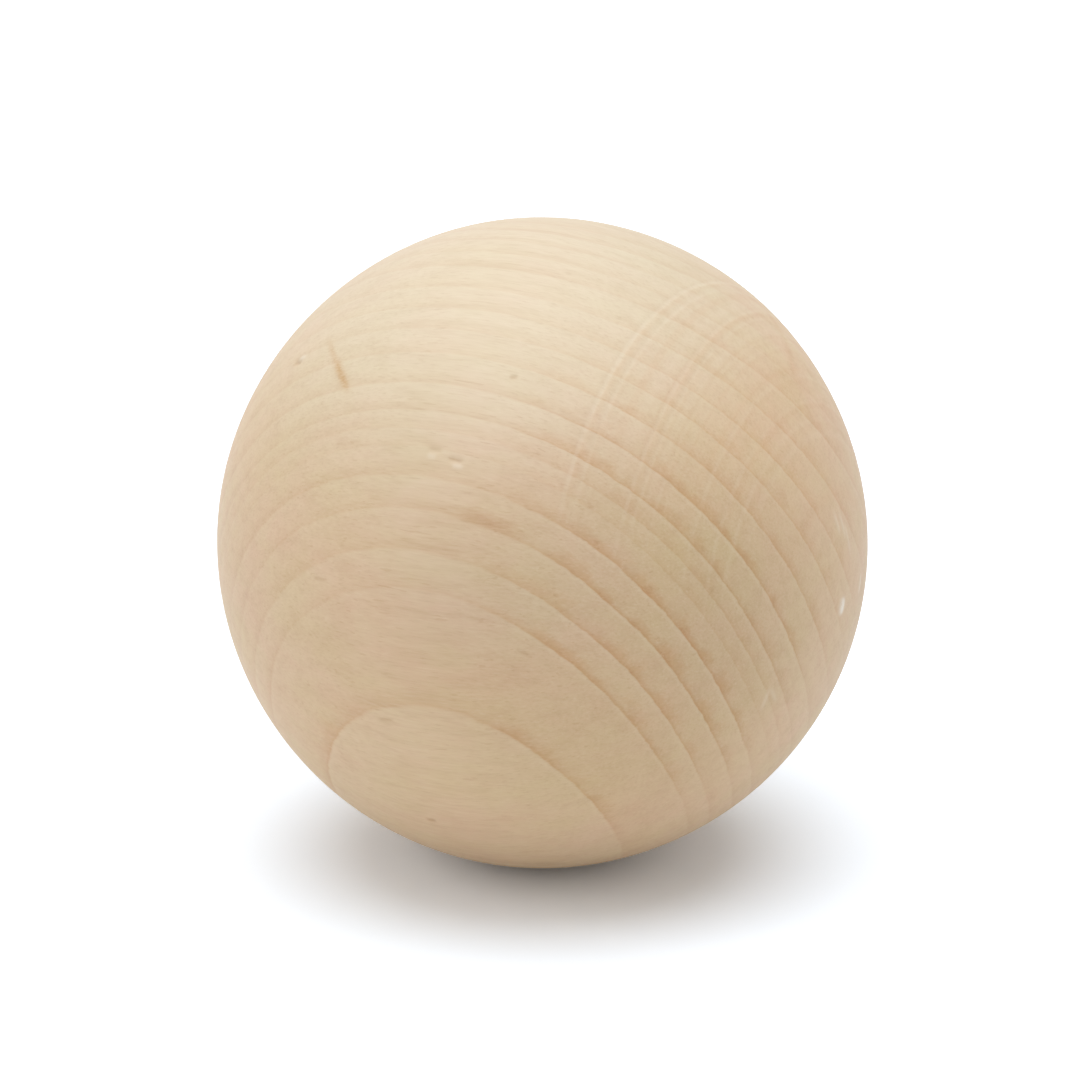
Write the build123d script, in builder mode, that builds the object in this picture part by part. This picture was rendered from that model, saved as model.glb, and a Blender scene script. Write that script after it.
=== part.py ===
import os

from build123d import *

# A wooden ball, turned from one block between two centres and sanded smooth all over.
# Millimetres, +Z up, with the origin at the middle of the ball.

# Driving dimension
ball_diameter = 50.8

# Worked out from it
ball_radius = ball_diameter / 2

# The half-round outline runs from the lower pole to the upper one
lower_pole_angle = -90
half_turn = 180

os.makedirs("parts", exist_ok=True)

# The outline stands on the turning axis, and a full turn sweeps it into one solid, with no hole and no flat
with BuildPart() as wooden_ball:
    with BuildSketch(Plane.XZ) as half_section:
        with BuildLine() as half_outline:
            rim = CenterArc((0, 0), ball_radius, lower_pole_angle, half_turn)
            turning_line = Line(rim @ 1, rim @ 0)
        make_face()
    revolve(axis=Axis.Z)

wooden_ball.part.label = "wooden_ball"
export_step(wooden_ball.part, "parts/wooden_ball.step")
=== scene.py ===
import math

import bmesh
import bpy
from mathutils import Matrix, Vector, noise


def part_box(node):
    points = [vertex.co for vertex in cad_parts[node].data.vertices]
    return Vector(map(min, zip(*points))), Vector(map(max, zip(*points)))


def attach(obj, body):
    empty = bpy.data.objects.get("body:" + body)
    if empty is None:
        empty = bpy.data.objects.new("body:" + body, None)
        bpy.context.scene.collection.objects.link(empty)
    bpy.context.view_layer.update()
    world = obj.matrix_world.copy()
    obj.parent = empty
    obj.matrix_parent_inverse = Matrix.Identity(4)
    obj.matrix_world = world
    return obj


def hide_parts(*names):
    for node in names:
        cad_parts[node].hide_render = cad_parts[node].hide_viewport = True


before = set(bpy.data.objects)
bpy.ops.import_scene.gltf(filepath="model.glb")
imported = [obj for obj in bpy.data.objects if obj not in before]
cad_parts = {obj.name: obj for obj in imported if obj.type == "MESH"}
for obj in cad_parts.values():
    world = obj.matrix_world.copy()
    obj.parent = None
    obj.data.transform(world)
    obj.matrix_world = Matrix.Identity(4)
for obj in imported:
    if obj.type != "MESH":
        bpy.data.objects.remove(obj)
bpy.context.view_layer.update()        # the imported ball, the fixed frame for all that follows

mm = 0.001               # the scene is in metres
nodeLow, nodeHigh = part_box("wooden_ball")
ballRadius = (nodeHigh.z - nodeLow.z) / 2
radiusMm = ballRadius / mm
print("frame loaded, ball radius in mm:", round(radiusMm, 2))

# the camera stands where the photograph was taken from, with a longer lens
viewpoint = {
    "elevation": 19.7,   # degrees above the horizon
    "distance": 22.5,    # ball radii from the middle of the ball
    "fill": 0.60,        # share of the picture's height that the ball takes
    "sensor": 36.0,      # mm
    "clip": (1, 200),    # ball radii
}


def pictureAxes():
    tilt = math.radians(viewpoint["elevation"])
    toward = Vector((0, -math.cos(tilt), math.sin(tilt)))
    right = Vector((1, 0, 0))
    return right, toward.cross(right), toward


def onBall(across, upward):
    # a point of the unit ball, given as the camera sees it: radii right of and above the middle
    right, up, toward = pictureAxes()
    depth = math.sqrt(max(0.0, 1 - across * across - upward * upward))
    return (right * across + up * upward + toward * depth).normalized()


def placeCamera():
    toward = pictureAxes()[2]
    halfAngle = math.asin(1 / viewpoint["distance"])
    data = bpy.data.cameras.new("camera")
    data.sensor_width = viewpoint["sensor"]
    data.lens = viewpoint["sensor"] / 2 * viewpoint["fill"] / math.tan(halfAngle)
    data.clip_start, data.clip_end = (radii * ballRadius for radii in viewpoint["clip"])
    camera = bpy.data.objects.new("camera", data)
    camera.location = toward * viewpoint["distance"] * ballRadius
    camera.rotation_euler = toward.to_track_quat("Z", "Y").to_euler()
    bpy.context.scene.collection.objects.link(camera)
    bpy.context.scene.camera = camera


placeCamera()
print("camera placed")

# how the ball was turned, and what the lathe left on it
turning = {
    "axis": (0.895, -0.445, -0.03),    # the near lathe centre shows at the right
    "stepsAlong": 190,
    "stepsAround": 200,
    "mergeWithin": 1e-5,               # ball radii, for the doubles at the poles
    "unevenness": 0.10,                # mm out of round
    "unevenSize": 1.1,
    "deepest": (0.62, 0.72),           # the turned lines are deepest at this place in the picture
    "fade": (0.28, 0.68),              # cosines from there at which they end and at which they are full
    "lineReach": 4.0,                  # widths within which a line shapes the surface
    "lip": (1.7, 0.6),                 # the lip beside a line: widths off it, share of its depth
    "lineMargin": (2.2, 0.2),          # faces are finer within this share of the width, and mm
    "lineCuts": 2,
}

# lines that the turning left: axis, share of the radius along it, width in mm, depth in mm, how pale
turnedLines = (
    ((0.877, -0.481, 0.011), 0.486, 0.22, 0.016, 1.0),
    ((0.877, -0.481, 0.011), 0.520, 0.18, 0.010, 0.6),
    ((0.911, -0.408, -0.071), 0.551, 0.20, 0.012, 0.7),
    ((0.911, -0.408, -0.071), 0.578, 0.16, 0.008, 0.4),
    ((0.895, -0.445, -0.030), 0.665, 0.16, 0.008, 0.4),
    ((0.895, -0.445, -0.030), 0.760, 0.16, 0.008, 0.4),
    ((0.895, -0.445, -0.030), 0.812, 0.16, 0.008, 0.5),
    ((0.895, -0.445, -0.030), 0.845, 0.16, 0.008, 0.4),
)

# how marks are shaped
marking = {
    "window": 0.97,                    # cosine from its middle past which a mark is far off
    "reach": 3.0,                      # half sizes within which it shapes the surface
    "spread": 0.9,                     # its colour reaches a little further than its shape
    "alongMargin": (0.6, 0.5),         # faces are finer within this share of the length, and mm
    "acrossMargin": (1.2, 0.35),       # and of the width
    "cuts": 4,
}

# small marks: kind, strength, both ends in the picture, width in mm, height in mm
smallMarks = (
    # the dark tint of the dented pits is painted shade in the dents
    ("pit", 0.6, -0.748, 0.543, -0.728, 0.543, 0.45, -0.12),
    ("pit", 0.24, -0.336, 0.278, -0.298, 0.270, 0.40, -0.07),
    ("pit", 0.30, -0.276, 0.247, -0.236, 0.236, 0.42, -0.09),
    ("pit", 0.6, -0.096, 0.489, -0.074, 0.489, 0.34, -0.06),
    ("pit", 0.5, -0.680, -0.106, -0.642, -0.112, 0.26, -0.05),
    ("pit", 0.6, -0.488, -0.526, -0.446, -0.530, 0.26, -0.06),
    ("pit", 0.7, -0.346, -0.838, -0.322, -0.840, 0.50, -0.07),
    ("pit", 0.5, -0.074, -0.318, -0.034, -0.334, 0.26, -0.04),
    ("stain", 0.45, -0.640, 0.602, -0.590, 0.475, 0.45, 0.0),
    ("stain", 0.80, -0.618, 0.545, -0.582, 0.458, 0.60, 0.0),
    ("stain", 0.30, -0.235, 0.084, -0.075, 0.034, 1.10, 0.0),
    # flat, no dent: a dark smudge in the wood's own colour
    ("pit", 0.26, -0.225, 0.080, -0.100, 0.042, 0.90, 0.0),
    ("stain", 0.22, 0.690, 0.700, 0.738, 0.612, 0.70, 0.0),
    ("stain", 0.26, 0.736, 0.616, 0.760, 0.500, 0.80, 0.0),
    ("stain", 0.16, 0.700, 0.510, 0.790, 0.460, 2.00, 0.0),
    # painted highlights: the lit rims of the three pits above
    ("pale", 0.30, -0.730, 0.556, -0.712, 0.560, 0.40, 0.03),
    ("pale", 0.22, -0.340, 0.258, -0.316, 0.252, 0.40, 0.02),
    ("pale", 0.28, -0.266, 0.228, -0.236, 0.222, 0.40, 0.02),
    ("pale", 0.22, 0.655, -0.500, 0.680, -0.435, 0.40, 0.02),
    ("pale", 0.20, 0.682, -0.436, 0.700, -0.475, 0.36, 0.02),
    ("pale", 1.0, 0.901, -0.216, 0.908, -0.168, 0.80, 0.10),
    ("pale", 0.20, 0.878, 0.088, 0.896, 0.030, 0.42, 0.04),
    ("pale", 0.24, 0.896, 0.085, 0.914, 0.015, 0.40, 0.04),
    ("pale", 0.20, 0.912, 0.052, 0.930, -0.030, 0.40, 0.04),
    ("pale", 0.6, 0.962, -0.150, 0.968, -0.100, 0.45, 0.06),
)


def axisTurn(axis):
    return Vector((0, 0, 1)).rotation_difference(Vector(axis)).to_matrix()


def markOnBall(kind, strength, x0, y0, x1, y1, width, height):
    first = onBall(x0, y0)
    last = onBall(x1, y1)
    out = (first + last).normalized()
    along = (last - first).normalized()
    return {"kind": kind, "strength": strength, "along": along, "side": out.cross(along), "out": out,
            "length": (last - first).length * radiusMm, "width": width, "height": height}


def markPlace(direction, mark):
    # mm along the mark and across it, or nothing when it is far off
    if direction.dot(mark["out"]) < marking["window"]:
        return None
    return direction.dot(mark["along"]) * radiusMm, direction.dot(mark["side"]) * radiusMm


def nearMark(direction, mark):
    place = markPlace(direction, mark)
    if not place:
        return False
    lengthShare, lengthMore = marking["alongMargin"]
    widthShare, widthMore = marking["acrossMargin"]
    beside = abs(place[1]) < widthShare * mark["width"] + widthMore
    return beside and abs(place[0]) < lengthShare * mark["length"] + lengthMore


def nearLine(direction, lines):
    widthShare, widthMore = turning["lineMargin"]
    return any(abs(direction.dot(axis) - place) * radiusMm < widthShare * width + widthMore
               for axis, place, width, depth, pale in lines)


def bell(distance):
    return math.exp(-distance * distance)


def lineFade(direction):
    # the turned lines run out away from the place where they are deepest
    ends, full = turning["fade"]
    near = direction.dot(onBall(*turning["deepest"]))
    return min(1.0, max(0.0, (near - ends) / (full - ends)))


def surfaceOffset(direction, fade):
    # how far the surface stands off the true ball there, in mm
    offset = turning["unevenness"] * noise.noise(direction * turning["unevenSize"])
    lipPlace, lipShare = turning["lip"]
    if fade > 0:
        for axis, place, width, depth, pale in turnedLines:
            gap = (direction.dot(axis) - place) * radiusMm / width
            if abs(gap) < turning["lineReach"]:
                offset -= depth * fade * (bell(gap) - lipShare * bell(abs(gap) - lipPlace))
    return offset


def cutFiner(bm, faces, cuts):
    edges = list({e for f in faces for e in f.edges})
    if edges:
        bmesh.ops.subdivide_edges(bm, edges=edges, cuts=cuts, use_grid_fill=True)


def turnBall():
    marks = [markOnBall(*mark) for mark in smallMarks]
    lines = [(Vector(axis), *rest) for axis, *rest in turnedLines]
    bm = bmesh.new()
    bm.verts.new((0, 0, ballRadius))
    bmesh.ops.spin(bm, geom=bm.verts[:], cent=(0, 0, 0), axis=(0, 1, 0), angle=math.pi,
                   steps=turning["stepsAlong"])
    bmesh.ops.spin(bm, geom=bm.verts[:] + bm.edges[:], cent=(0, 0, 0), axis=(0, 0, 1),
                   angle=2 * math.pi, steps=turning["stepsAround"], use_merge=True)
    bmesh.ops.remove_doubles(bm, verts=bm.verts, dist=turning["mergeWithin"] * ballRadius)
    bmesh.ops.rotate(bm, verts=bm.verts, cent=(0, 0, 0), matrix=axisTurn(turning["axis"]))

    # finer faces along the turned lines and under each mark
    lined = []
    marked = []
    for face in bm.faces:
        middle = face.calc_center_median().normalized()
        if any(nearMark(middle, mark) for mark in marks):
            marked.append(face)
        elif lineFade(middle) > 0 and nearLine(middle, lines):
            lined.append(face)
    cutFiner(bm, marked, marking["cuts"])
    cutFiner(bm, [f for f in lined if f.is_valid], turning["lineCuts"])

    layer = bm.verts.layers.float_color.new("marks")      # stain, pale, pit
    for vert in bm.verts:
        direction = vert.co.normalized()
        offset = surfaceOffset(direction, lineFade(direction))
        shares = {"stain": 0.0, "pale": 0.0, "pit": 0.0}
        for mark in marks:
            place = markPlace(direction, mark)
            if not place:
                continue
            along = place[0] / (mark["length"] / 2)
            reach = math.hypot(along * along, place[1] / (mark["width"] / 2))
            if reach < marking["reach"]:
                offset += mark["height"] * bell(reach)
                share = mark["strength"] * bell(marking["spread"] * reach)
                shares[mark["kind"]] = max(shares[mark["kind"]], share)
        vert[layer] = (shares["stain"], shares["pale"], shares["pit"], 1.0)
        vert.co = direction * (ballRadius + offset * mm)
    bmesh.ops.recalc_face_normals(bm, faces=bm.faces)
    for face in bm.faces:
        face.smooth = True

    mesh = bpy.data.meshes.new("turned_ball")
    bm.to_mesh(mesh)
    bm.free()
    ball = bpy.data.objects.new("turned_ball", mesh)
    bpy.context.scene.collection.objects.link(ball)
    triangles = sum(len(p.vertices) - 2 for p in mesh.polygons)
    print("ball turned,", triangles, "triangles")
    return ball


# short helpers for node trees
def addNode(tree, kind, sockets=None, **settings):
    made = tree.nodes.new(kind)
    for name, value in settings.items():
        setattr(made, name, value)
    for name, value in (sockets or {}).items():
        if isinstance(value, bpy.types.NodeSocket):
            tree.links.new(value, made.inputs[name])
        else:
            made.inputs[name].default_value = value
    return made


def calc(tree, operation, *values, clamp=False):
    sockets = {i: v for i, v in enumerate(values)}
    return addNode(tree, "ShaderNodeMath", sockets, operation=operation, use_clamp=clamp).outputs[0]


def times(tree, *values):
    result = values[0]
    for value in values[1:]:
        result = calc(tree, "MULTIPLY", result, value)
    return result


def grade(tree, value, base, slope):
    # base plus slope times the value
    return calc(tree, "MULTIPLY_ADD", value, slope, base)


def vectorCalc(tree, operation, *values):
    sockets = {i: v for i, v in enumerate(values)}
    made = addNode(tree, "ShaderNodeVectorMath", sockets, operation=operation)
    return made.outputs["Value"] if operation in ("DOT_PRODUCT", "LENGTH") else made.outputs[0]


def stretch(tree, vector, scale):
    return vectorCalc(tree, "MULTIPLY", vector, scale)


def remap(tree, value, low, high, toLow=0.0, toHigh=1.0, smooth=True):
    sockets = {"Value": value, "From Min": low, "From Max": high, "To Min": toLow, "To Max": toHigh}
    kind = "SMOOTHSTEP" if smooth else "LINEAR"
    return addNode(tree, "ShaderNodeMapRange", sockets, interpolation_type=kind).outputs[0]


def noiseAt(tree, vector, scale, detail=2.0, roughness=0.5, output=0):
    sockets = {"Vector": vector, "Scale": scale, "Detail": detail, "Roughness": roughness}
    return addNode(tree, "ShaderNodeTexNoise", sockets).outputs[output]


def shake(tree, vector, scale, size):
    # an offset of about that size, in mm
    spread = noiseAt(tree, vector, scale, output=1)
    return stretch(tree, vectorCalc(tree, "SUBTRACT", spread, (0.5, 0.5, 0.5)), (2 * size,) * 3)


def tint(tree, colour, share, factor):
    # the colour times factor, as far as share says
    sockets = {0: share, 6: colour, 7: (*factor, 1)}
    return addNode(tree, "ShaderNodeMix", sockets, data_type="RGBA", blend_type="MULTIPLY").outputs[2]


def blendTo(tree, colour, share, target):
    sockets = {0: share, 6: colour, 7: (*target, 1)}
    return addNode(tree, "ShaderNodeMix", sockets, data_type="RGBA").outputs[2]


def lookUp(tree, value, points):
    # a broken line through points from 0 to 1
    made = addNode(tree, "ShaderNodeFloatCurve", {"Factor": 1.0, "Value": value})
    line = made.mapping.curves[0]
    line.points[0].location = points[0]
    line.points[1].location = points[-1]
    for spot in points[1:-1]:
        line.points.new(*spot)
    for point in line.points:
        point.handle_type = "VECTOR"
    made.mapping.update()
    return made.outputs[0]


# the wood: growth rings, fibres and tints
bareWood = {
    "fibreAxis": (0.930, -0.368, -0.007),
    "ringAxis": (0.934, 0.238, 0.265),       # the heart of the tree runs along this, behind and above
    "ringSide": (-0.350, 0.751, 0.560),      # from the ball towards the heart
    "heart": (50.3, 13.8),                   # mm from the middle of the ball, along ringSide and across it
    "heartBend": (-0.0055, -0.0279),         # per mm, how the heart curves away
    "taper": -0.0165,                        # per mm, how the rings widen along the tree
    "ringSwing": ((0.08, 0.21), (0.145, 0.26)),      # how the rings swing off with height, in radii
    "barkSide": 91.0,                        # mm from the heart, outside the ball
    # width in mm and how strong the line is at the ring's outer edge, from the bark side inwards
    "rings": (
        (8.2, 1.0), (7.8, 1.0), (3.0, 0.9), (3.5, 0.75), (3.2, 1.0), (3.0, 1.0), (2.0, 0.2),
        (2.1, 0.35), (3.5, 0.95), (4.2, 0.95), (3.8, 0.6), (3.6, 0.45), (4.0, 0.4), (4.6, 0.45),
        (3.5, 0.65), (3.4, 0.5), (3.3, 0.6), (3.1, 0.5), (3.2, 0.6), (3.0, 0.5), (3.5, 0.6),
    ),
    # noise in the wood: its scale along the fibres, features per mm across them, detail, roughness
    "noises": {
        "patches": (0.5, 0.16, 5.0, 0.72),
        "mottle": (0.5, 0.5, 3.0, 0.6),
        "ragged": (0.16, 1.2, 2.0, 0.6),
        "blotch": (0.35, 0.45, 3.0, 0.5),
        "frayed": (0.14, 2.0, 2.0, 0.6),
        "streak": (0.05, 1.3, 3.0, 0.6),
        "fine": (0.09, 6.0, 4.0, 0.65),
        "vessel": (0.11, 4.2, 1.0, 0.5),
    },
    # how the rings wander: scale along the fibres, turns per mm across them, and mm
    "slowShake": (0.3, 0.12, 0.10),
    "quickShake": (0.3, 0.6, 0.05),
    "raggedness": (0.48, -0.10),             # mm, and how much less where the lines are bold
    "cream": (0.736, 0.573, 0.394),
    "rose": (0.746, 0.561, 0.398),
    "straw": (0.727, 0.581, 0.383),
    "patchRange": (0.35, 0.50, 0.65),        # the noise at which the ground is rose, cream and straw
    "mottleRange": (0.42, 0.72),
    "mottleTint": (0.970, 0.950, 0.935),
    "litTop": (0.745, 0.686, 0.550),       # painted highlight: the top is paler, a veil of light from above painted in
    "litTopPlace": (-0.12, 0.90, 12, 62),  # place in the picture, degrees to full and to none
    "litTopShare": 0.55,
    "paleFibre": (0.86, 0.76, 0.62),
    "gloss": 0.36,
    "roughness": (0.50, 0.12),               # and how much the fibres add
    "lateRoughness": -0.06,
    "bumpHeights": (0.6, -0.8),              # of the fibres and the vessels
    "bumpStrength": 0.5,
    "bumpDistance": 0.012,                   # mm
    # where the lines are bold: place in the picture, degrees to full and to none, and a share
    "bolder": (
        (0.33, -0.35, 8, 38, 1.0), (0.40, 0.26, 8, 34, 0.72), (0.74, 0.05, 8, 34, 1.0),
        (-0.66, -0.62, 6, 22, 0.60), (-0.30, -0.50, 6, 25, 0.25), (0.06, -0.70, 6, 24, 0.70),
    ),
    # place in the picture, degrees to the full tint and to none, tint
    "broadTints": (
        (0.24, -0.32, 8, 46, (0.900, 0.890, 0.840)),
        (-0.72, 0.02, 8, 40, (0.970, 0.955, 0.955)),
        (0.84, 0.28, 8, 38, (1.0, 0.978, 0.965)),
        (0.25, 0.55, 12, 55, (1.0, 1.0, 0.970)),
        (-0.60, 0.38, 6, 26, (0.975, 1.0, 0.985)),
        (-0.10, 0.10, 8, 32, (1.0, 1.005, 1.06)),
        (0.66, -0.18, 6, 26, (0.962, 0.958, 0.950)),
        # painted light: lighter low in the middle, for light thrown up from the floor
        (0.0, -0.62, 8, 30, (1.03, 1.03, 1.025)),
    ),
}


def woodNoise(tree, fibre, name):
    alongScale, scale, detail, roughness = bareWood["noises"][name]
    return noiseAt(tree, stretch(tree, fibre, (1, 1, alongScale)), scale, detail, roughness)


def woodShake(tree, fibre, alongScale, scale, size):
    return shake(tree, stretch(tree, fibre, (1, 1, alongScale)), scale, size)


def growthRings(tree, position, ragged):
    wood = bareWood
    axis = Vector(wood["ringAxis"]).normalized()
    side = Vector(wood["ringSide"])
    side = (side - axis * side.dot(axis)).normalized()
    across = axis.cross(side)
    s = vectorCalc(tree, "DOT_PRODUCT", position, axis)
    u = vectorCalc(tree, "DOT_PRODUCT", position, side)
    v = vectorCalc(tree, "DOT_PRODUCT", position, across)
    s2 = calc(tree, "MULTIPLY", s, s)
    u = calc(tree, "SUBTRACT", calc(tree, "MULTIPLY_ADD", s2, -wood["heartBend"][0], u), wood["heart"][0])
    v = calc(tree, "SUBTRACT", calc(tree, "MULTIPLY_ADD", s2, -wood["heartBend"][1], v), wood["heart"][1])
    away = calc(tree, "SQRT", calc(tree, "MULTIPLY_ADD", u, u, calc(tree, "MULTIPLY", v, v)))
    distance = calc(tree, "MULTIPLY_ADD", away, calc(tree, "MULTIPLY_ADD", s, wood["taper"], 1.0), ragged)
    # the rings swing off as they climb
    right, up, toward = pictureAxes()
    x = vectorCalc(tree, "DOT_PRODUCT", position, right / radiusMm)
    y = vectorCalc(tree, "DOT_PRODUCT", position, up / radiusMm)
    (xShare, xyShare), (yShare, yyShare) = wood["ringSwing"]
    swing = calc(tree, "MULTIPLY", x, calc(tree, "MULTIPLY_ADD", y, xyShare, xShare))
    swing = calc(tree, "MULTIPLY_ADD", y, calc(tree, "MULTIPLY_ADD", y, yyShare, yShare), swing)
    distance = calc(tree, "MULTIPLY_ADD", times(tree, y, swing), -radiusMm, distance)
    # ring lines from the heart outwards
    edges = [wood["barkSide"]]
    for width, strength in wood["rings"]:
        edges.append(edges[-1] - width)
    edges.reverse()
    rings = wood["rings"][::-1]
    count = len(rings)
    span = edges[-1] - edges[0]
    share = remap(tree, distance, edges[0], edges[-1], smooth=False)
    steps = [((edge - edges[0]) / span, i / count) for i, edge in enumerate(edges)]
    turns = calc(tree, "MULTIPLY", lookUp(tree, share, steps), float(count))
    ring = calc(tree, "FLOOR", turns)
    phase = calc(tree, "SUBTRACT", turns, ring)
    # the width and the line of the ring that a point is in, scaled for curves that hold 0 to 1
    widest = 10.0
    strongest = 2.0
    middle = calc(tree, "DIVIDE", calc(tree, "ADD", ring, 0.5), float(count))
    places = [0.0] + [(i + 0.5) / count for i in range(count)] + [1.0]
    padded = [rings[0], *rings, rings[-1]]
    widths = [(spot, wide / widest) for spot, (wide, strength) in zip(places, padded)]
    width = calc(tree, "MULTIPLY", lookUp(tree, middle, widths), widest)
    strengths = [(spot, strength / strongest) for spot, (wide, strength) in zip(places, padded)]
    line = calc(tree, "MULTIPLY", lookUp(tree, middle, strengths), strongest)
    lower = calc(tree, "SUBTRACT", middle, 1 / count)
    lineBelow = calc(tree, "MULTIPLY", lookUp(tree, lower, strengths), strongest)
    inside = calc(tree, "MULTIPLY", phase, width)        # mm from the ring's inner edge
    outside = calc(tree, "SUBTRACT", width, inside)      # mm to its outer edge
    return {"ring": ring, "phase": phase, "inside": inside, "outside": outside,
            "line": line, "lineBelow": lineBelow}


def nearPlace(tree, unit, across, upward, inner, outer):
    # 1 within inner degrees of a place in the picture, falling to 0 at outer degrees
    cosine = vectorCalc(tree, "DOT_PRODUCT", unit, onBall(across, upward))
    return remap(tree, cosine, math.cos(math.radians(outer)), math.cos(math.radians(inner)))


def boldness(tree, unit):
    # where the ring lines are bold and brown
    bold = 0.0
    for *place, share in bareWood["bolder"]:
        bold = calc(tree, "MAXIMUM", bold, times(tree, nearPlace(tree, unit, *place), share))
    return bold


# the line at the end of each ring, lengths in mm; a pair is a base and what bold lines or noise add,
# or in a reach and a rise, where the shade ends and where it is full
ringLines = {
    "blotchRange": (0.35, 0.65),
    "edge": (0.30, -0.20),            # how sharply the late wood ends
    "blotchReach": 1.5,               # how far blotches make it reach into the ring
    "frayedReach": (-0.5, 2.4),       # and frayed fibres
    "lateEnd": 0.1,
    "patchiness": (0.32, 0.70),
    "lateShare": (0.03, 0.62),
    "hairReach": (0.45, 0.10),        # the dark hair line at the very edge
    "hairShare": (0.08, 0.24),
    "softReach": (1.6, 0.25),         # the soft shade behind it
    "softShare": 0.19,
    "earlyRise": (0.0, 0.10),         # the pale early wood past the line
    "earlyReach": (0.6, 0.10),
    "earlyShare": (0.03, 0.10),
    "slowPower": 1.6,
    "lineTint": (0.88, 0.70, 0.52),   # brown late wood
    "softTint": (0.86, 0.77, 0.72),   # where the lines are faint
    "slowTint": (0.988, 0.968, 0.945),
    "oddTint": (0.992, 0.980, 0.972),
}


def ringColour(tree, colour, fibre, bold, rings):
    look = ringLines
    inside = rings["inside"]
    outside = rings["outside"]
    blotch = remap(tree, woodNoise(tree, fibre, "blotch"), *look["blotchRange"])
    frayed = woodNoise(tree, fibre, "frayed")
    # the late wood deepens up to an edge, sharp where the line is bold
    rise = remap(tree, outside, 0.0, grade(tree, bold, *look["edge"]))
    reach = grade(tree, blotch, grade(tree, frayed, *look["frayedReach"]), look["blotchReach"])
    late = times(tree, remap(tree, outside, reach, look["lateEnd"]), rise, rings["line"])
    soft = times(tree, remap(tree, outside, *look["softReach"]), rise, rings["line"])
    patchy = times(tree, bold, grade(tree, blotch, *look["patchiness"]))
    lateShare = grade(tree, patchy, *look["lateShare"])
    hair = times(tree, remap(tree, outside, *look["hairReach"]), rise, rings["line"])
    hair = times(tree, hair, grade(tree, bold, *look["hairShare"]))
    # each ring darkens slowly outwards
    slowly = times(tree, calc(tree, "POWER", rings["phase"], look["slowPower"]), rise)
    colour = tint(tree, colour, slowly, look["slowTint"])
    colour = tint(tree, colour, times(tree, soft, look["softShare"]), look["softTint"])
    colour = tint(tree, colour, times(tree, late, lateShare), look["lineTint"])
    colour = tint(tree, colour, hair, look["lineTint"])
    early = times(tree, remap(tree, inside, *look["earlyRise"]), remap(tree, inside, *look["earlyReach"]))
    early = times(tree, early, rings["lineBelow"], grade(tree, bold, *look["earlyShare"]))
    colour = blendTo(tree, colour, early, bareWood["paleFibre"])
    # rings differ a little from each other
    odd = addNode(tree, "ShaderNodeTexWhiteNoise", {"W": rings["ring"]}, noise_dimensions="1D").outputs[0]
    colour = tint(tree, colour, odd, look["oddTint"])
    return colour, late


# long soft streaks, fine fibres and short vessel lines; ranges are of their noise
fibres = {
    "streakRange": (0.40, 0.75),
    "streakTint": (0.955, 0.935, 0.915),
    "fineRange": (0.48, 0.80),
    "fineTint": (0.91, 0.875, 0.84),
    "paleRange": (0.5, 0.2, 0.0, 0.20),      # to a share of pale fibre from 0 to 0.2
    "vesselRange": (0.665, 0.735),
    "vesselTint": (0.82, 0.72, 0.62),
    "vesselShare": 0.32,
    "vesselPlace": (-0.35, -0.15, 15, 60),   # they show most at this place in the picture
    "vesselOften": (0.5, 0.5),
}


def fibreColour(tree, colour, fibre, unit):
    streak = remap(tree, woodNoise(tree, fibre, "streak"), *fibres["streakRange"])
    colour = tint(tree, colour, streak, fibres["streakTint"])
    fine = woodNoise(tree, fibre, "fine")
    colour = tint(tree, colour, remap(tree, fine, *fibres["fineRange"]), fibres["fineTint"])
    colour = blendTo(tree, colour, remap(tree, fine, *fibres["paleRange"]), bareWood["paleFibre"])
    often = nearPlace(tree, unit, *fibres["vesselPlace"])
    dashes = remap(tree, woodNoise(tree, fibre, "vessel"), *fibres["vesselRange"])
    dashes = times(tree, dashes, grade(tree, often, *fibres["vesselOften"]))
    colour = tint(tree, colour, times(tree, dashes, fibres["vesselShare"]), fibres["vesselTint"])
    return colour, fine, dashes


# pale rubbed lines with a painted shade line beside each, and faint bands of light and dark between them,
# round the lathe's axis
rubbed = {
    "fade": (0.26, 0.60),                    # cosines from the place where the lines are deepest
    "bandNoise": {"Scale": 26.0, "Detail": 2.0, "Roughness": 0.6},
    "bandsAlong": (0.35, 0.55),              # the bands start here along the axis, in radii
    "bandsNear": (0.45, 0.85),
    "darkRange": (0.5, 0.75),
    "darkTint": (0.990, 0.965, 0.950),
    "paleRange": (0.5, 0.25, 0.0, 0.08),
    "brokenNoise": (0.45, 2.0),
    "brokenRange": (0.30, 0.60, 0.35, 1.0),
    "lineWidths": (1.0, 0.2),                # line widths to nothing and to full
    "lineShare": 0.17,
    "shadeLinePlace": 1.6,                      # a painted shade line this many widths beside each
    "shadeLineWidths": (1.2, 0.2),
    "shadeLineShare": 0.5,
    "shadeLineTint": (0.95, 0.90, 0.86),
}


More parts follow.
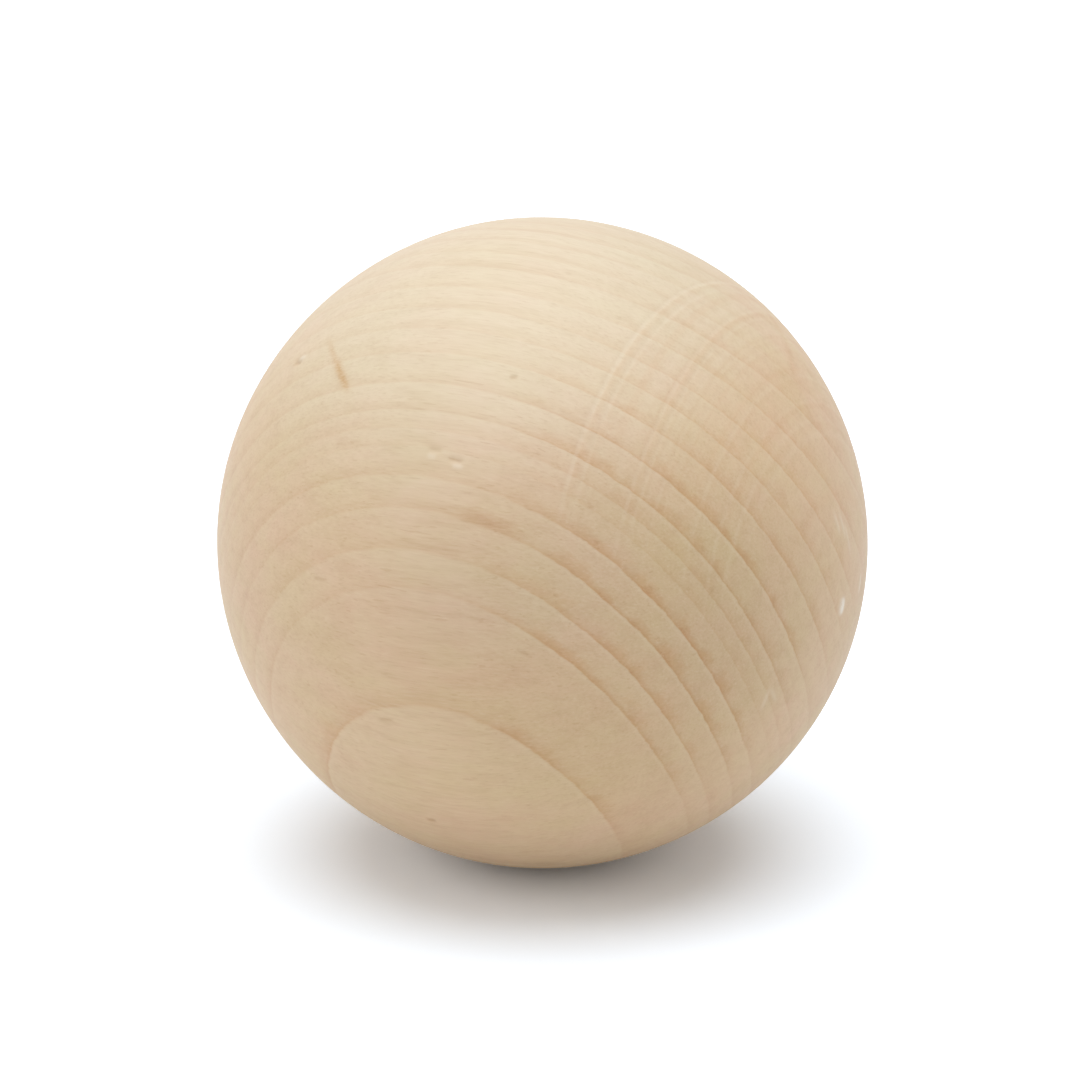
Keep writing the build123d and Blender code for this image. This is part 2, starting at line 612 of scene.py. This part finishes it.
def turnedColour(tree, colour, unit, position):
    pale = bareWood["paleFibre"]
    near = vectorCalc(tree, "DOT_PRODUCT", unit, onBall(*turning["deepest"]))
    fade = remap(tree, near, *rubbed["fade"])
    along = vectorCalc(tree, "DOT_PRODUCT", unit, Vector(turning["axis"]).normalized())
    bands = addNode(tree, "ShaderNodeTexNoise", {"W": along, **rubbed["bandNoise"]}, noise_dimensions="1D")
    bands = bands.outputs[0]
    zone = times(tree, remap(tree, along, *rubbed["bandsAlong"]), remap(tree, near, *rubbed["bandsNear"]))
    darker = times(tree, zone, remap(tree, bands, *rubbed["darkRange"]))
    colour = tint(tree, colour, darker, rubbed["darkTint"])
    colour = blendTo(tree, colour, times(tree, zone, remap(tree, bands, *rubbed["paleRange"])), pale)
    broken = remap(tree, noiseAt(tree, position, *rubbed["brokenNoise"]), *rubbed["brokenRange"])
    for axis, place, width, depth, strength in turnedLines:
        step = width / radiusMm
        gap = calc(tree, "SUBTRACT", vectorCalc(tree, "DOT_PRODUCT", unit, Vector(axis)), place)
        share = times(tree, fade, broken, strength)
        line = remap(tree, calc(tree, "ABSOLUTE", gap), *(step * widths for widths in rubbed["lineWidths"]))
        colour = blendTo(tree, colour, times(tree, line, share, rubbed["lineShare"]), pale)
        # painted shade: a darker line beside each pale line
        beside = calc(tree, "ABSOLUTE", calc(tree, "SUBTRACT", gap, step * rubbed["shadeLinePlace"]))
        line = remap(tree, beside, *(step * widths for widths in rubbed["shadeLineWidths"]))
        colour = tint(tree, colour, times(tree, line, share, rubbed["shadeLineShare"]), rubbed["shadeLineTint"])
    return colour


# the colours of the small marks, and how far they go
markLook = {
    "ragged": (0.1, 1.6),              # the fibres break stains and nicks up
    "stainShare": 0.9,
    "stainTint": (0.80, 0.58, 0.36),
    "pitShadeAndSmudgeShare": 0.8,
    "pitShadeAndSmudgeTint": (0.70, 0.58, 0.47),
    # pale marks are torn-fibre nicks, and painted highlights on the pits' rims
    "paleNickAndHighlightShare": 0.95,
    "paleNickAndHighlightColour": (0.93, 0.88, 0.80),
}


def markColour(tree, colour, fine):
    marks = addNode(tree, "ShaderNodeAttribute", attribute_name="marks").outputs["Color"]
    stain, pale, pit = addNode(tree, "ShaderNodeSeparateColor", {"Color": marks}).outputs[:3]
    ragged = grade(tree, fine, *markLook["ragged"])
    stain = calc(tree, "MULTIPLY", times(tree, stain, ragged), markLook["stainShare"], clamp=True)
    colour = tint(tree, colour, stain, markLook["stainTint"])
    # painted shade in the dents, and the flat smudge's own darker colour
    pit = calc(tree, "MULTIPLY", pit, markLook["pitShadeAndSmudgeShare"], clamp=True)
    colour = tint(tree, colour, pit, markLook["pitShadeAndSmudgeTint"])
    # pale nicks, and painted highlights on the pits' rims
    pale = calc(tree, "MULTIPLY", times(tree, pale, ragged), markLook["paleNickAndHighlightShare"], clamp=True)
    return blendTo(tree, colour, pale, markLook["paleNickAndHighlightColour"])


def groundColour(tree, fibre, unit):
    # pink and yellow wander in patches of every size
    wood = bareWood
    ground = addNode(tree, "ShaderNodeValToRGB", {"Fac": woodNoise(tree, fibre, "patches")})
    ramp = ground.color_ramp
    first, middle, last = wood["patchRange"]
    ramp.elements[0].position = first
    ramp.elements[0].color = (*wood["rose"], 1)
    ramp.elements[1].position = last
    ramp.elements[1].color = (*wood["straw"], 1)
    ramp.elements.new(middle).color = (*wood["cream"], 1)
    colour = ground.outputs[0]
    mottle = remap(tree, woodNoise(tree, fibre, "mottle"), *wood["mottleRange"])
    colour = tint(tree, colour, mottle, wood["mottleTint"])

    # broad differences from place to place; the one low in the middle is painted light
    for *place, factor in wood["broadTints"]:
        colour = tint(tree, colour, nearPlace(tree, unit, *place), factor)
    # painted highlight: the top is blended towards a paler colour
    litTop = times(tree, nearPlace(tree, unit, *wood["litTopPlace"]), wood["litTopShare"])
    return blendTo(tree, colour, litTop, wood["litTop"])


def bareWoodMaterial():
    wood = bareWood
    material = bpy.data.materials.new("bare_wood")
    material.use_nodes = True
    tree = material.node_tree
    tree.nodes.clear()
    place = addNode(tree, "ShaderNodeTexCoord").outputs["Object"]
    position = stretch(tree, place, (1 / mm,) * 3)            # mm from the middle of the ball
    unit = vectorCalc(tree, "NORMALIZE", place)
    turn = axisTurn(wood["fibreAxis"])                        # z runs along the fibres
    fibre = addNode(tree, "ShaderNodeMapping", {"Vector": position, "Rotation": turn.to_euler()},
                    vector_type="TEXTURE").outputs[0]
    # the rings wander a little, and their lines are ragged along the fibres
    bold = boldness(tree, unit)
    slow = woodShake(tree, fibre, *wood["slowShake"])
    quick = woodShake(tree, fibre, *wood["quickShake"])
    ragged = calc(tree, "SUBTRACT", woodNoise(tree, fibre, "ragged"), 0.5)
    ragged = times(tree, ragged, grade(tree, bold, *wood["raggedness"]))
    moved = vectorCalc(tree, "ADD", position, vectorCalc(tree, "ADD", slow, quick))
    rings = growthRings(tree, moved, ragged)

    colour = groundColour(tree, fibre, unit)
    colour, late = ringColour(tree, colour, fibre, bold, rings)
    colour, fine, dashes = fibreColour(tree, colour, fibre, unit)
    colour = turnedColour(tree, colour, unit, position)
    colour = markColour(tree, colour, fine)

    rough = grade(tree, late, grade(tree, fine, *wood["roughness"]), wood["lateRoughness"])
    fineHeight, vesselHeight = wood["bumpHeights"]
    height = grade(tree, fine, times(tree, dashes, vesselHeight), fineHeight)
    bumps = addNode(tree, "ShaderNodeBump", {"Height": height, "Strength": wood["bumpStrength"],
                                             "Distance": wood["bumpDistance"] * mm})
    shader = addNode(tree, "ShaderNodeBsdfPrincipled", {"Base Color": colour, "Roughness": rough,
                                                        "Specular IOR Level": wood["gloss"],
                                                        "Normal": bumps.outputs[0]})
    output = addNode(tree, "ShaderNodeOutputMaterial")
    tree.links.new(shader.outputs[0], output.inputs["Surface"])
    print("wood finished,", len(tree.nodes), "nodes")
    return material


ball = turnBall()
ball.data.materials.append(bareWoodMaterial())
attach(ball, "root")
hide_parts("wooden_ball")

# plain white floor and soft studio light
studio = {
    "floorSize": 80.0,       # ball radii from the middle to the edge
    "floorSeen": (1.21, 1.31, 1.43),   # the floor to the camera, a cool white
    "floorBounce": (0.82, 0.795, 0.755),  # and to the light that it throws back
    "sky": 0.38,
    # watts, width in metres and place in metres
    "lamps": (
        ("overhead", 9.6, 1.4, (0.0, 0.05, 1.0)),
        ("left", 2.1, 0.7, (-0.95, -0.25, 0.5)),
        ("right", 0.5, 0.7, (0.95, -0.25, 0.5)),
        ("front", 0.8, 0.7, (0.0, -1.1, 0.35)),
    ),
}


def seenRays(tree):
    rays = addNode(tree, "ShaderNodeLightPath").outputs
    mirrored = calc(tree, "MAXIMUM", rays["Is Glossy Ray"], rays["Is Transmission Ray"])
    return calc(tree, "MAXIMUM", rays["Is Camera Ray"], mirrored)


def layFloor():
    bm = bmesh.new()
    bmesh.ops.create_grid(bm, x_segments=1, y_segments=1, size=studio["floorSize"] * ballRadius)
    bmesh.ops.translate(bm, verts=bm.verts, vec=(0, 0, -ballRadius))
    mesh = bpy.data.meshes.new("floor")
    bm.to_mesh(mesh)
    bm.free()
    floor = bpy.data.objects.new("floor", mesh)
    bpy.context.scene.collection.objects.link(floor)
    material = bpy.data.materials.new("white_floor")
    material.use_nodes = True
    tree = material.node_tree
    tree.nodes.clear()
    sockets = {0: seenRays(tree), 6: (*studio["floorBounce"], 1), 7: (*studio["floorSeen"], 1)}
    level = addNode(tree, "ShaderNodeMix", sockets, data_type="RGBA").outputs[2]
    shader = addNode(tree, "ShaderNodeBsdfDiffuse", {"Color": level})
    output = addNode(tree, "ShaderNodeOutputMaterial")
    tree.links.new(shader.outputs[0], output.inputs["Surface"])
    mesh.materials.append(material)


def hangLights():
    for name, power, size, spot in studio["lamps"]:
        data = bpy.data.lights.new(name, "AREA")
        data.energy = power
        data.shape = "DISK"
        data.size = size
        lamp = bpy.data.objects.new(name, data)
        lamp.location = spot
        lamp.rotation_euler = Vector(spot).to_track_quat("Z", "Y").to_euler()
        bpy.context.scene.collection.objects.link(lamp)

    world = bpy.data.worlds.new("studio")
    world.use_nodes = True
    tree = world.node_tree
    tree.nodes.clear()
    strength = remap(tree, seenRays(tree), 0.0, 1.0, studio["sky"], 1.0, smooth=False)
    sky = addNode(tree, "ShaderNodeBackground", {"Color": (1, 1, 1, 1), "Strength": strength})
    output = addNode(tree, "ShaderNodeOutputWorld")
    tree.links.new(sky.outputs[0], output.inputs["Surface"])
    bpy.context.scene.world = world


layFloor()
hangLights()
bpy.context.scene.view_settings.view_transform = "Standard"
print("studio set")
